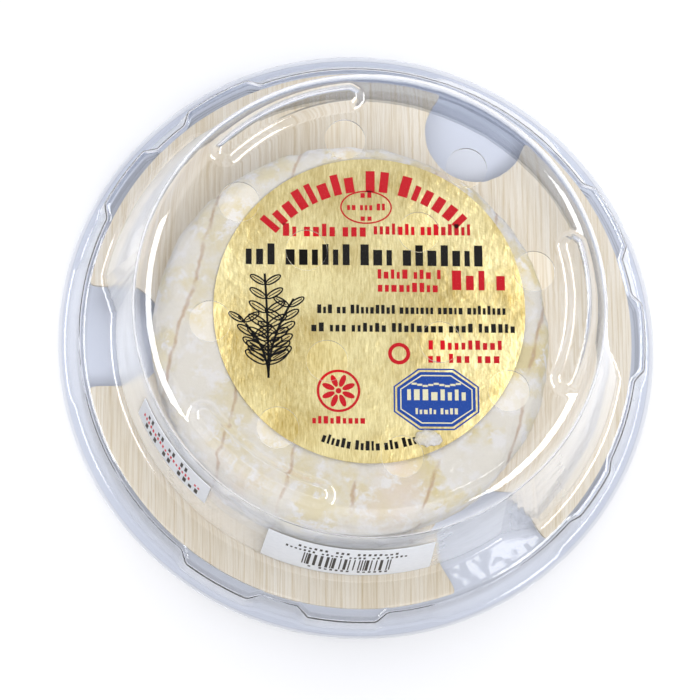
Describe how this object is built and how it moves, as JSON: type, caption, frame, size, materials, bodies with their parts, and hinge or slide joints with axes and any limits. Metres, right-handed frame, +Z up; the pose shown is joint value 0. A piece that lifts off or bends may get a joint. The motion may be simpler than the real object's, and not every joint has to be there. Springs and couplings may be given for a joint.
{
  "type": "soft-ripened goat cheese in a clear domed pack",
  "caption": "Round bloomy-rind goat cheese with a round foil label, on a lobed wooden plate, shut in a clear base tray and a clear domed lid with vent holes.",
  "frame": {"origin": "on the table under the pack, on the axis of the round pack", "axes": "+Z up out of the dome, +X and +Y across the round base, with the foil label reading along +X"},
  "size_m": [0.126, 0.126, 0.0428],
  "materials": {
    "clear_sheet": "clear thermoformed sheet, glossy",
    "poplar": "bare sliced poplar, fine straight grain",
    "rind": "matt white bloomy rind with cream patches",
    "gold_foil": "brushed gold foil on paper",
    "sticker_paper": "smooth white label paper"
  },
  "bodies": {
    "root": {"base_tray": "clear_sheet", "lid": "clear_sheet", "wood_plate": "poplar", "cheese": "rind", "gold_label": "gold_foil", "barcode_sticker": "sticker_paper", "date_sticker": "sticker_paper"}
  },
  "joints": []
}
